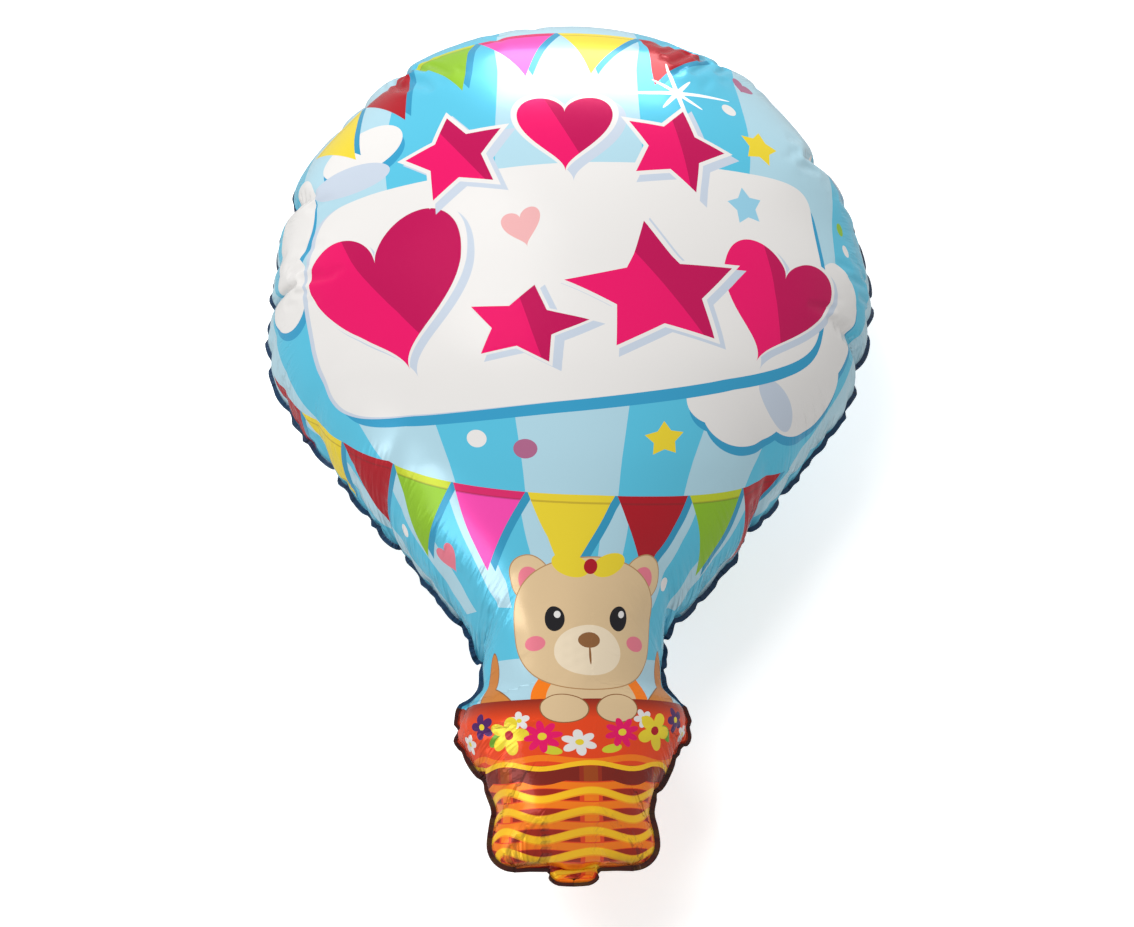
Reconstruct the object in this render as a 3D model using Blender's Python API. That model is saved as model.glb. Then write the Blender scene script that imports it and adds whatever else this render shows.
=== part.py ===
"""A figure foil balloon in the shape of a hot air balloon, lying on its back.

Two printed sheets of foil are cut to one outline, welded together round the edge and
inflated. The sealed inside is solid here, so each sheet is the half of the inflated body
on its own side of the weld. Metres, +Z up. +Y runs along the balloon to its crown, and
the printed front looks up. The origin is under the middle of the balloon, on the ground.
"""

import math

import bmesh
import bpy
import numpy as np
from mathutils import Vector

# Envelope, measured to the weld and not to the edge of the flange
ENVELOPE_RADIUS = 0.240
ENVELOPE_HALF_DEPTH = 0.140
BELLY_DROP = 0.075
SHOULDER_RADIUS = 0.172
CONE_ANGLE_DEG = 39.2

# Neck, where the envelope runs into the basket
NECK_HALF_WIDTH = 0.0710
NECK_BLEND_RADIUS = 0.050
NECK_DROP = 0.270
NECK_HALF_DEPTH = 0.094
WAIST_HALF_DEPTH = 0.079
WAIST_CORNER_RADIUS = 0.004

# Rim band of the basket
RIM_TOP_DROP = 0.309
RIM_HALF_WIDTH = 0.0860
RIM_SLOPE = 0.012
RIM_HEIGHT = 0.043
RIM_CORNER_RADIUS = 0.007
RIM_HALF_DEPTH = 0.088

# Woven body of the basket
BASKET_TOP_HALF_WIDTH = 0.0800
BASKET_TOP_HALF_DEPTH = 0.076
BASKET_TAPER_HEIGHT = 0.042
BASKET_FOOT_HALF_WIDTH = 0.0600
BASKET_FOOT_HEIGHT = 0.045
BASKET_FOOT_RADIUS = 0.018
BASKET_TAPER_RADIUS = 0.020
BASKET_FOOT_HALF_DEPTH = 0.062

# Flat filling tail at the bottom, which holds the valve between the two sheets
TAIL_HALF_WIDTH = 0.019
TAIL_LENGTH = 0.017
TAIL_ROOT_RADIUS = 0.004
TAIL_CORNER_RADIUS = 0.008

# Welded flange round the whole outline, with its scalloped pucker
FLANGE_WIDTH = 0.0045
SHEET_THICKNESS = 0.0008
WELD_GAP = 0.0003
PUCKER_WIDTH = 0.030
SCALLOP_DEPTH = 0.0022
PUCKER_HEIGHT = 0.0045
PUCKER_REACH = 0.060
SAMPLES_PER_PUCKER = 4

# Flat spot on the back that keeps the balloon from rolling
FLAT_SPOT_DEPTH = 0.003

# Fineness of the loft between the weld and the spine of the body
RING_SHARES = (1.0, 0.975, 0.92, 0.83, 0.70, 0.53, 0.31)
PROFILE_STEPS = 400
ARC_STEP_DEG = 3.0
FILLET_STEP_DEG = 12.0

PRINTED_BLUE = (0.16, 0.55, 0.74, 1.0)
PLAIN_BLUE = (0.12, 0.45, 0.66, 1.0)


def filleted(corners):
    """Points along a path whose corners (x, y, radius) are rounded with arcs."""
    path = [Vector(corners[0][:2])]
    for before, corner, after in zip(corners, corners[1:], corners[2:]):
        tip = Vector(corner[:2])
        back = (Vector(before[:2]) - tip)
        ahead = (Vector(after[:2]) - tip)
        half_angle = back.angle(ahead) / 2
        room = 0.48 * min(back.length, ahead.length)
        setback = min(corner[2] / math.tan(half_angle), room)
        radius = setback * math.tan(half_angle)
        back.normalize()
        ahead.normalize()
        centre = tip + (back + ahead).normalized() * (radius / math.sin(half_angle))
        start = tip + back * setback - centre
        sweep = math.pi - 2 * half_angle
        side = 1 if start.x * ahead.y - start.y * ahead.x > 0 else -1
        steps = max(2, math.ceil(math.degrees(sweep) / FILLET_STEP_DEG))
        for step in range(steps + 1):
            turn = side * sweep * step / steps
            path.append(centre + Vector((
                start.x * math.cos(turn) - start.y * math.sin(turn),
                start.x * math.sin(turn) + start.y * math.cos(turn),
            )))
    path.append(Vector(corners[-1][:2]))
    return path


def arc(centre, radius, start_deg, end_deg):
    """Points of an arc clockwise from one compass bearing to another, from the +Y axis."""
    steps = max(2, math.ceil((end_deg - start_deg) / ARC_STEP_DEG))
    bearings = np.radians(np.linspace(start_deg, end_deg, steps + 1))
    return [centre + Vector((math.sin(b), math.cos(b))) * radius for b in bearings]


def basket_drops():
    """Distances below the envelope's centre of the basket's levels: rim, body, foot, base."""
    body_top = RIM_TOP_DROP + RIM_HEIGHT
    foot_top = body_top + BASKET_TAPER_HEIGHT
    return RIM_TOP_DROP, body_top, foot_top, foot_top + BASKET_FOOT_HEIGHT


def right_side():
    """The weld's right half, from the crown down to the middle of the basket's base.

    The envelope's centre is at (0, 0) and y is up.
    """
    rim_top, body_top, foot_top, base = basket_drops()
    dome = arc(Vector((0.0, 0.0)), ENVELOPE_RADIUS, 0.0, 90.0)
    shoulder_centre = Vector((ENVELOPE_RADIUS - SHOULDER_RADIUS, 0.0))
    shoulder = arc(shoulder_centre, SHOULDER_RADIUS, 90.0, 90.0 + CONE_ANGLE_DEG)
    cone_start = shoulder[-1]
    cone_run = (cone_start.x - NECK_HALF_WIDTH) / math.tan(math.radians(CONE_ANGLE_DEG))
    lower = filleted([
        (cone_start.x, cone_start.y, 0.0),
        (NECK_HALF_WIDTH, cone_start.y - cone_run, NECK_BLEND_RADIUS),
        (NECK_HALF_WIDTH, -rim_top, WAIST_CORNER_RADIUS),
        (RIM_HALF_WIDTH, -rim_top - RIM_SLOPE, RIM_CORNER_RADIUS),
        (RIM_HALF_WIDTH, -body_top + RIM_CORNER_RADIUS, RIM_CORNER_RADIUS),
        (BASKET_TOP_HALF_WIDTH, -body_top, WAIST_CORNER_RADIUS),
        (BASKET_FOOT_HALF_WIDTH, -foot_top, BASKET_TAPER_RADIUS),
        (BASKET_FOOT_HALF_WIDTH, -base, BASKET_FOOT_RADIUS),
        (0.0, -base, 0.0),
    ])
    return dome[:-1] + shoulder[:-1] + lower


def evenly(path, count):
    """An open path resampled to count + 1 points at equal steps."""
    points = np.array([tuple(p) for p in path])
    run = np.concatenate([[0.0], np.cumsum(np.linalg.norm(np.diff(points, axis=0), axis=1))])
    at = np.linspace(0.0, run[-1], count + 1)
    return np.column_stack([np.interp(at, run, points[:, axis]) for axis in (0, 1)]), run[-1]


def weld_line():
    """The closed weld, clockwise from the crown, and how many puckers it holds."""
    _, half_length = evenly(right_side(), 1)
    puckers = round(half_length / PUCKER_WIDTH)
    right, _ = evenly(right_side(), puckers * SAMPLES_PER_PUCKER)
    left = right[-2:0:-1] * [-1, 1]
    return np.vstack([right, left]), 2 * puckers


def outward(points):
    """Unit normals that point out of a closed clockwise line."""
    along = np.roll(points, -1, axis=0) - np.roll(points, 1, axis=0)
    normals = np.column_stack([-along[:, 1], along[:, 0]])
    return normals / np.linalg.norm(normals, axis=1)[:, None]


def membrane_profile(share):
    """Height of an inflated round foil cushion at a share of its radius, 1 in the middle.

    The curve is the integral of t^2 / sqrt(1 - t^4), which a film that can't stretch takes.
    """
    angle = (np.arange(PROFILE_STEPS) + 0.5) / PROFILE_STEPS * math.pi / 2
    reach = np.sin(angle)
    slope = reach ** 2 / np.sqrt(1 + reach ** 2)
    height = np.cumsum(slope[::-1])[::-1]
    return np.interp(share, reach, height / height[0], left=1.0, right=0.0)


def half_depth(drop):
    """Half the body's depth on its spine, at a distance below the envelope's centre."""
    rim_top, body_top, foot_top, _ = basket_drops()
    rim_middle = rim_top + RIM_HEIGHT / 2
    levels = (
        (BELLY_DROP, ENVELOPE_HALF_DEPTH),
        (NECK_DROP, NECK_HALF_DEPTH),
        (rim_top, WAIST_HALF_DEPTH),
        (rim_middle, RIM_HALF_DEPTH),
        (body_top, BASKET_TOP_HALF_DEPTH),
        (foot_top, BASKET_FOOT_HALF_DEPTH),
    )
    for (above, depth_above), (below, depth_below) in zip(levels, levels[1:]):
        if drop <= below:
            share = max(0.0, (drop - above) / (below - above))
            ease = (1 - math.cos(math.pi * share)) / 2
            return depth_above + (depth_below - depth_above) * ease
    return levels[-1][1]


def spine_points(weld):
    """The point of the body's spine that each point of the weld is lofted to."""
    foot_top = basket_drops()[2]
    return np.column_stack([np.zeros(len(weld)), np.clip(weld[:, 1], -foot_top, 0.0)])


def pucker_wave(count, puckers):
    """From 0 in the creases between two puckers to 1 on their crests, round the weld."""
    turn = np.arange(count) / count * puckers
    return np.abs(np.sin(math.pi * (turn + 0.5)))


def half_body():
    """One sheet's half of the body: its weld face at z = 0 and its bulge up."""
    weld, puckers = weld_line()
    count = len(weld)
    spine = spine_points(weld)
    depth = np.array([half_depth(-y) for y in spine[:, 1]])
    crest = pucker_wave(count, puckers)
    reach = np.linalg.norm(weld - spine, axis=1)

    bm = bmesh.new()

    def ring(points, heights):
        return [bm.verts.new((x, y, z)) for (x, y), z in zip(points, heights)]

    edge = weld + outward(weld) * (FLANGE_WIDTH + SCALLOP_DEPTH * crest)[:, None]
    loops = [ring(edge, np.zeros(count)), ring(edge, np.full(count, SHEET_THICKNESS))]
    for share in RING_SHARES:
        points = spine + (weld - spine) * share
        near_weld = np.clip(1 - (1 - share) * reach / PUCKER_REACH, 0.0, 1.0)
        dent = PUCKER_HEIGHT * near_weld * (1 - crest) * (share < 1)
        heights = SHEET_THICKNESS + depth * membrane_profile(share) - dent
        loops.append(ring(points, heights))
    for outer, inner in zip(loops, loops[1:]):
        for i in range(count):
            j = (i + 1) % count
            bm.faces.new((outer[i], inner[i], inner[j], outer[j]))
    close_along_spine(bm, loops[-1], spine, SHEET_THICKNESS + depth)
    bm.faces.new(loops[0])
    bmesh.ops.triangulate(bm, faces=bm.faces[:])
    bmesh.ops.recalc_face_normals(bm, faces=bm.faces[:])
    return bm


def close_along_spine(bm, ring, spine, heights):
    """Joins the innermost ring to the spine, where its left and right halves meet."""
    half = len(ring) // 2
    spine_verts = []
    for i in range(half + 1):
        place = Vector((0.0, spine[i][1], heights[i]))
        if spine_verts and (spine_verts[-1].co - place).length < SHEET_THICKNESS:
            spine_verts.append(spine_verts[-1])
        else:
            spine_verts.append(bm.verts.new(place))
    sides = (ring[:half + 1], [ring[0]] + ring[:half - 1:-1])
    for side in sides:
        for i in range(half):
            corners = (side[i], side[i + 1], spine_verts[i + 1], spine_verts[i])
            bm.faces.new(tuple(dict.fromkeys(corners)))


def tail_tab():
    """The filling tail's half thickness: a flat tab with round corners, below the base."""
    base = basket_drops()[3]
    half = filleted([
        (TAIL_HALF_WIDTH + TAIL_ROOT_RADIUS, -base, 0.0),
        (TAIL_HALF_WIDTH, -base - FLANGE_WIDTH, TAIL_ROOT_RADIUS),
        (TAIL_HALF_WIDTH, -base - TAIL_LENGTH, TAIL_CORNER_RADIUS),
        (0.0, -base - TAIL_LENGTH, 0.0),
    ])
    top = -base + FLANGE_WIDTH
    outline = [(TAIL_HALF_WIDTH + TAIL_ROOT_RADIUS, top)] + [tuple(p) for p in half]
    outline += [(-x, y) for x, y in outline[-2::-1]]
    bm = bmesh.new()
    face = bm.faces.new([bm.verts.new((x, y, 0.0)) for x, y in outline])
    pulled = bmesh.ops.extrude_face_region(bm, geom=[face])["geom"]
    up = (0.0, 0.0, SHEET_THICKNESS)
    bmesh.ops.translate(bm, verts=[v for v in pulled if isinstance(v, bmesh.types.BMVert)], vec=up)
    bmesh.ops.recalc_face_normals(bm, faces=bm.faces[:])
    return bm


def printed_film(name, colour):
    """A glossy printed foil."""
    material = bpy.data.materials.new(name)
    material.use_nodes = True
    shader = material.node_tree.nodes["Principled BSDF"]
    shader.inputs["Base Color"].default_value = colour
    shader.inputs["Metallic"].default_value = 0.35
    shader.inputs["Roughness"].default_value = 0.28
    return material


def as_object(name, bm, collection):
    """A bmesh as an object of its own in a collection."""
    mesh = bpy.data.meshes.new(name)
    bm.to_mesh(mesh)
    bm.free()
    obj = bpy.data.objects.new(name, mesh)
    collection.objects.link(obj)
    return obj


def union(target, cutter):
    """Joins a helper's shape to an object with a Boolean and hides the helper."""
    join = target.modifiers.new("join_" + cutter.name, "BOOLEAN")
    join.operation = "UNION"
    join.object = cutter
    cutter.hide_render = True
    cutter.display_type = "WIRE"


def foil_sheet(name, material, parts, helpers, faces_up):
    """One sheet with its half of the body, in place above or below the weld."""
    body = half_body()
    tab = tail_tab()
    centre_y = overall_length() / 2 - crown_reach()
    weld_z = weld_height()
    side = 1 if faces_up else -1
    for bm in (body, tab):
        for vert in bm.verts:
            x, y, z = vert.co
            vert.co = (x, y + centre_y, weld_z + side * (WELD_GAP / 2 + z))
        bmesh.ops.recalc_face_normals(bm, faces=bm.faces[:])
    if not faces_up:
        flat_spot(body)
    sheet = as_object(name, body, parts)
    union(sheet, as_object(name + "_tail_tab", tab, helpers))
    sheet.data.materials.append(material)
    sheet.data.shade_smooth()
    sheet.data.set_sharp_from_angle(angle=math.radians(50))
    return sheet


def flat_spot(body):
    """Cuts the back off flat at the ground."""
    geometry = body.verts[:] + body.edges[:] + body.faces[:]
    cut = bmesh.ops.bisect_plane(
        body, geom=geometry, plane_co=(0, 0, 0), plane_no=(0, 0, -1), clear_outer=True
    )
    rim = [item for item in cut["geom_cut"] if isinstance(item, bmesh.types.BMEdge)]
    bmesh.ops.edgenet_fill(body, edges=rim)
    bmesh.ops.triangulate(body, faces=[f for f in body.faces if len(f.verts) > 4])
    bmesh.ops.recalc_face_normals(body, faces=body.faces[:])


def crown_reach():
    """From the envelope's centre to the edge of the flange above it, on a pucker's crest."""
    return ENVELOPE_RADIUS + FLANGE_WIDTH + SCALLOP_DEPTH


def overall_length():
    """From the flange at the crown to the end of the tail."""
    return crown_reach() + basket_drops()[3] + TAIL_LENGTH


def weld_height():
    """Height of the weld over the ground that the flat spot lies on."""
    return ENVELOPE_HALF_DEPTH + SHEET_THICKNESS + WELD_GAP / 2 - FLAT_SPOT_DEPTH


def clear_scene():
    """Removes what the scene holds."""
    for obj in list(bpy.data.objects):
        bpy.data.objects.remove(obj)


def collection_named(name):
    """A new collection in the scene."""
    collection = bpy.data.collections.new(name)
    bpy.context.scene.collection.children.link(collection)
    return collection


def main():
    """Builds the two sheets of the balloon."""
    clear_scene()
    parts = collection_named("foil_balloon")
    helpers = collection_named("helpers")
    front = printed_film("printed_front_foil", PRINTED_BLUE)
    back = printed_film("printed_back_foil", PLAIN_BLUE)
    foil_sheet("front_foil", front, parts, helpers, faces_up=True)
    foil_sheet("back_foil", back, parts, helpers, faces_up=False)


main()
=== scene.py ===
"""The looks of a hot air balloon foil balloon, lying on its back.

Two printed sheets of metallised film are cut to one flat outline, welded together round the
edge and inflated. The flat cut is worked out from named sizes, a cloth simulation inflates
it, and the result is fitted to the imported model's outline and depth. The print is drawn by
shader nodes in the flat cut's own coordinates. Metres, +Z up, +Y towards the crown.
"""

import logging
import math
from dataclasses import dataclass
from enum import Enum
from functools import partialmethod

import bmesh
import bpy
import numpy as np
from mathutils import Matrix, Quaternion, Vector
from mathutils.geometry import delaunay_2d_cdt


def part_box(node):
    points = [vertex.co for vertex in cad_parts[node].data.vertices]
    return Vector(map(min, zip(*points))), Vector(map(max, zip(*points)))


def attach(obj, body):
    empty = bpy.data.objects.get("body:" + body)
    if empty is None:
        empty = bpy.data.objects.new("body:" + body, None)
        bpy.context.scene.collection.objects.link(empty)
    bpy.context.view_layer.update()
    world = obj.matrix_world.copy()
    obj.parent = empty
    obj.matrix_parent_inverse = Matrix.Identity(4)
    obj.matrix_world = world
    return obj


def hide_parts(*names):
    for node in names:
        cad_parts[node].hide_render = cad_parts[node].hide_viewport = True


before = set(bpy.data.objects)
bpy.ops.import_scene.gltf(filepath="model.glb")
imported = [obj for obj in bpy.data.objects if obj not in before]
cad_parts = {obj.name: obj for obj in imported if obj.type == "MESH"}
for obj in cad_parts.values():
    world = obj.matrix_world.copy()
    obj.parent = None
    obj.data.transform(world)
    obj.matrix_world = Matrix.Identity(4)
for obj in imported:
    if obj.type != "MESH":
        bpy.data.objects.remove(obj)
for startup_name in ("Cube", "Light", "Camera"):
    if startup_name in bpy.data.objects:
        bpy.data.objects.remove(bpy.data.objects[startup_name])
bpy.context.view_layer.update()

LOG = logging.getLogger("foil_balloon")
TURN = 2 * math.pi
# Where the envelope's centre lies on the print's UV map, whose unit is a metre.
PRINT_ORIGIN = (0.5, 0.6)
# Metres along the seam and in from it for one unit of the seam's UV map, and its shift inwards.
SEAM_SCALE = (2.5, 0.5)
INSET_SHIFT = 0.05
# The print's height where the basket starts.
BASKET_TOP = -0.358

Array = np.ndarray
Pair = tuple[float, float]
Colour = tuple[float, float, float]
Socket = bpy.types.NodeSocket
Number = Socket | float


class Side(Enum):
    """Which of the two sheets a piece is."""

    FRONT = "front_foil"
    BACK = "back_foil"


@dataclass(frozen=True)
class Outline:
    """The right half of a balloon's outline, from its crown to the end of its filling tail.

    The envelope's centre is at (0, 0) and drops are measured down from it.
    """

    radius: float
    shoulder_radius: float
    cone_deg: float
    neck_half_width: float
    neck_blend_radius: float
    waist_half_width: float
    rim_top_drop: float
    rim_half_width: float
    rim_slope: float
    rim_height: float
    basket_half_width: float
    taper_height: float
    foot_half_width: float
    foot_height: float
    foot_radius: float
    tail_half_width: float
    tail_length: float
    tail_corner_radius: float
    small_radius: float = 0.005
    arc_step_deg: float = 3.0

    @property
    def drops(self) -> list[float]:
        """Drops of the rim's top, the basket's top, its foot and its base.

        Returns:
            The four drops, in that order.
        """
        rim_bottom = self.rim_top_drop + self.rim_height
        foot_top = rim_bottom + self.taper_height
        return [self.rim_top_drop, rim_bottom, foot_top, foot_top + self.foot_height]

    def half(self) -> Array:
        """Points down the right side, from the crown to the tail's end on the middle line.

        Returns:
            The points, as rows of x and y.
        """
        rim_top, rim_bottom, foot_top, base = self.drops
        dome = self.arc(0.0, self.radius, 0.0, 90.0)
        shoulder = self.arc(
            self.radius - self.shoulder_radius, self.shoulder_radius, 90.0, 90.0 + self.cone_deg
        )
        start = shoulder[-1]
        run = (start[0] - self.neck_half_width) / math.tan(math.radians(self.cone_deg))
        small = self.small_radius
        tail_end = base + self.tail_length
        lower = rounded([
            (start[0], start[1], 0.0),
            (self.neck_half_width, start[1] - run, self.neck_blend_radius),
            (self.waist_half_width, -rim_top, small),
            (self.rim_half_width, -rim_top - self.rim_slope, small),
            (self.rim_half_width, -rim_bottom + small, small),
            (self.basket_half_width, -rim_bottom, small),
            (self.foot_half_width, -foot_top, self.foot_radius),
            (self.foot_half_width, -base, self.foot_radius),
            (self.tail_half_width + small, -base, small),
            (self.tail_half_width, -tail_end, self.tail_corner_radius),
            (0.0, -tail_end, 0.0),
        ])
        return np.array(dome[:-1] + shoulder[:-1] + lower)

    def arc(self, centre_x: float, radius: float, start: float, end: float) -> list[tuple]:
        """Points of an arc about (centre_x, 0), clockwise between two compass bearings.

        Args:
            centre_x: where the centre lies on the x axis.
            radius: the arc's radius.
            start: the first bearing, in degrees.
            end: the last bearing, in degrees.

        Returns:
            The points, as (x, y).
        """
        steps = max(2, math.ceil((end - start) / self.arc_step_deg))
        bearings = np.radians(np.linspace(start, end, steps + 1))
        return [(centre_x + math.sin(b) * radius, math.cos(b) * radius) for b in bearings]

    def closed(self) -> Array:
        """The whole outline, clockwise from the crown, with its first point repeated."""
        half = self.half()
        return np.vstack([half, half[-2:0:-1] * [-1, 1], half[:1]])

    def half_width(self, drops: Array) -> Array:
        """Half the outline's width at drops below the envelope's centre.

        Args:
            drops: the drops.

        Returns:
            Half the width at each.
        """
        half = self.half()
        order = np.argsort(-half[:, 1], kind="stable")
        return np.interp(drops, -half[order, 1], half[order, 0])


def rounded(corners: list[tuple], room: float = 0.60, step_deg: float = 10.0) -> list[tuple]:
    """Rounds a path's corners with arcs.

    Args:
        corners: the path's corners as (x, y, radius).
        room: the most of a side that one arc takes up.
        step_deg: the arcs' steps.

    Returns:
        The points of the rounded path.
    """
    path = [corners[0][:2]]
    for before, corner, after in zip(corners, corners[1:], corners[2:]):
        tip = Vector(corner[:2])
        back, ahead = Vector(before[:2]) - tip, Vector(after[:2]) - tip
        half_angle = back.angle(ahead) / 2
        most = room * min(back.length, ahead.length)
        setback = min(corner[2] / math.tan(half_angle), most)
        radius = setback * math.tan(half_angle)
        back.normalize()
        ahead.normalize()
        centre = tip + (back + ahead).normalized() * (radius / math.sin(half_angle))
        first, last = tip + back * setback - centre, tip + ahead * setback - centre
        turn = first.angle_signed(last)
        steps = max(2, math.ceil(math.degrees(abs(turn)) / step_deg))
        for step in range(steps + 1):
            angle = -turn * step / steps
            path.append((
                centre.x + first.x * math.cos(angle) - first.y * math.sin(angle),
                centre.y + first.x * math.sin(angle) + first.y * math.cos(angle),
            ))
    path.append(corners[-1][:2])
    return path


def spread(path: Array, count: int) -> Array:
    """Points at equal steps along a closed path.

    Args:
        path: the path's points, the first one repeated at the end.
        count: how many points to spread.

    Returns:
        The points, as many as count.
    """
    run = np.concatenate([[0.0], np.cumsum(np.linalg.norm(np.diff(path, axis=0), axis=1))])
    at = np.linspace(0.0, run[-1], count, endpoint=False)
    return np.column_stack([np.interp(at, run, path[:, axis]) for axis in range(path.shape[1])])


def add_object(name: str, data: bpy.types.ID) -> bpy.types.Object:
    """Makes an object of a mesh, a light or a camera.

    Args:
        name: the object's name.
        data: what it shows.

    Returns:
        The object, in the scene.
    """
    made = bpy.data.objects.new(name, data)
    bpy.context.scene.collection.objects.link(made)
    return made


def path_length(path: Array) -> float:
    """The length of a path."""
    return float(np.linalg.norm(np.diff(path, axis=0), axis=1).sum())


def outward(loop: Array) -> Array:
    """Unit normals in the plane that point out of a closed clockwise loop.

    Args:
        loop: the loop's points.

    Returns:
        A unit normal for each point.
    """
    along = np.roll(loop, -1, axis=0) - np.roll(loop, 1, axis=0)
    normals = np.column_stack([-along[:, 1], along[:, 0]])
    return normals / np.linalg.norm(normals, axis=1)[:, None]


def smoothed(loop: Array, reach: int) -> Array:
    """A closed loop's points, each the mean of its neighbours up to a reach away."""
    return sum(np.roll(loop, step, axis=0) for step in range(-reach, reach + 1)) / (2 * reach + 1)


WELD = Outline(
    radius=0.240, shoulder_radius=0.172, cone_deg=39.2, neck_half_width=0.071,
    neck_blend_radius=0.050, waist_half_width=0.071, rim_top_drop=0.309, rim_half_width=0.086,
    rim_slope=0.012, rim_height=0.043, basket_half_width=0.080, taper_height=0.042,
    foot_half_width=0.060, foot_height=0.045, foot_radius=0.018, tail_half_width=0.0145,
    tail_length=0.0125, tail_corner_radius=0.012,
)

CUT = Outline(
    radius=0.322, shoulder_radius=0.285, cone_deg=42.0, neck_half_width=0.136,
    neck_blend_radius=0.060, waist_half_width=0.110, rim_top_drop=0.345, rim_half_width=0.123,
    rim_slope=0.014, rim_height=0.050, basket_half_width=0.110, taper_height=0.045,
    foot_half_width=0.074, foot_height=0.047, foot_radius=0.018, tail_half_width=0.0155,
    tail_length=0.014, tail_corner_radius=0.012,
)


@dataclass
class Film:
    """A triangulated double sheet: flat places, places in space and its faces.

    The first border_count points are the weld, in order, and both sheets share them.
    """

    flat: Array
    place: Array
    front: Array
    back: Array
    border_count: int

    def finer(self, outline: Outline) -> "Film":
        """The film with each triangle cut into four, and new weld points on the outline.

        Args:
            outline: the flat cut's outline.

        Returns:
            The finer film.
        """
        count, faces = self.border_count, np.vstack([self.front, self.back])
        pairs = np.sort(faces[:, [0, 1, 1, 2, 2, 0]].reshape(-1, 2), axis=1)
        edges, owner = np.unique(pairs, axis=0, return_inverse=True)
        owner = owner.reshape(-1, 3)
        gap = edges[:, 1] - edges[:, 0]
        on_weld = (edges[:, 1] < count) & ((gap == 1) | (gap == count - 1))
        turn = np.where(gap == 1, 2 * edges[:, 0] + 1, 2 * count - 1)[on_weld]
        flat = (self.flat[edges[:, 0]] + self.flat[edges[:, 1]]) / 2
        flat[on_weld] = spread(outline.closed(), 2 * count)[turn]
        place = self.smooth_middles(edges, faces)
        place[on_weld] = self.weld_middles()[(turn - 1) // 2]

        total = len(self.flat)
        order = np.concatenate([np.arange(2 * count), np.zeros(0, int)])
        order[0::2] = np.arange(count)
        order[turn] = total + np.nonzero(on_weld)[0]
        order = np.concatenate([order, np.setdiff1d(np.arange(total + len(edges)), order)])
        rank = np.empty(len(order), int)
        rank[order] = np.arange(len(order))

        def split(faces: Array, middles: Array) -> Array:
            """Cuts triangles into four.

            Args:
                faces: the triangles.
                middles: the edges on their three sides.

            Returns:
                The new triangles, in the new order of points.
            """
            a, b, c = faces.T
            ab, bc, ca = (middles + total).T
            parts = [(a, ab, ca), (b, bc, ab), (c, ca, bc), (ab, bc, ca)]
            return rank[np.vstack([np.column_stack(part) for part in parts])]

        half = len(self.front)
        return Film(
            flat=np.vstack([self.flat, flat])[order],
            place=np.vstack([self.place, place])[order],
            front=split(self.front, owner[:half]),
            back=split(self.back, owner[half:]),
            border_count=2 * count,
        )

    def smooth_middles(self, edges: Array, faces: Array) -> Array:
        """The middles of edges, lifted on to the curve that the vertex normals describe.

        Args:
            edges: pairs of points.
            faces: the film's triangles.

        Returns:
            A middle for each edge.
        """
        corners = self.place[faces]
        face_normal = np.cross(corners[:, 1] - corners[:, 0], corners[:, 2] - corners[:, 0])
        normal = np.zeros_like(self.place)
        for corner in range(3):
            np.add.at(normal, faces[:, corner], face_normal)
        normal /= np.linalg.norm(normal, axis=1)[:, None] + 1e-12
        a, b = edges.T
        along = self.place[b] - self.place[a]
        rise_a = (along * normal[a]).sum(1)
        rise_b = (along * normal[b]).sum(1)
        lift = (rise_b[:, None] * normal[b] - rise_a[:, None] * normal[a]) / 8
        return (self.place[a] + self.place[b]) / 2 + lift

    def weld_middles(self) -> Array:
        """The middles of the weld's steps, on a smooth curve through the weld's points.

        Returns:
            A middle for each step, in order.
        """
        loop = self.place[:self.border_count]
        before, after, beyond = (np.roll(loop, -step, axis=0) for step in (-1, 1, 2))
        return (9 * (loop + after) - before - beyond) / 16


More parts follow.
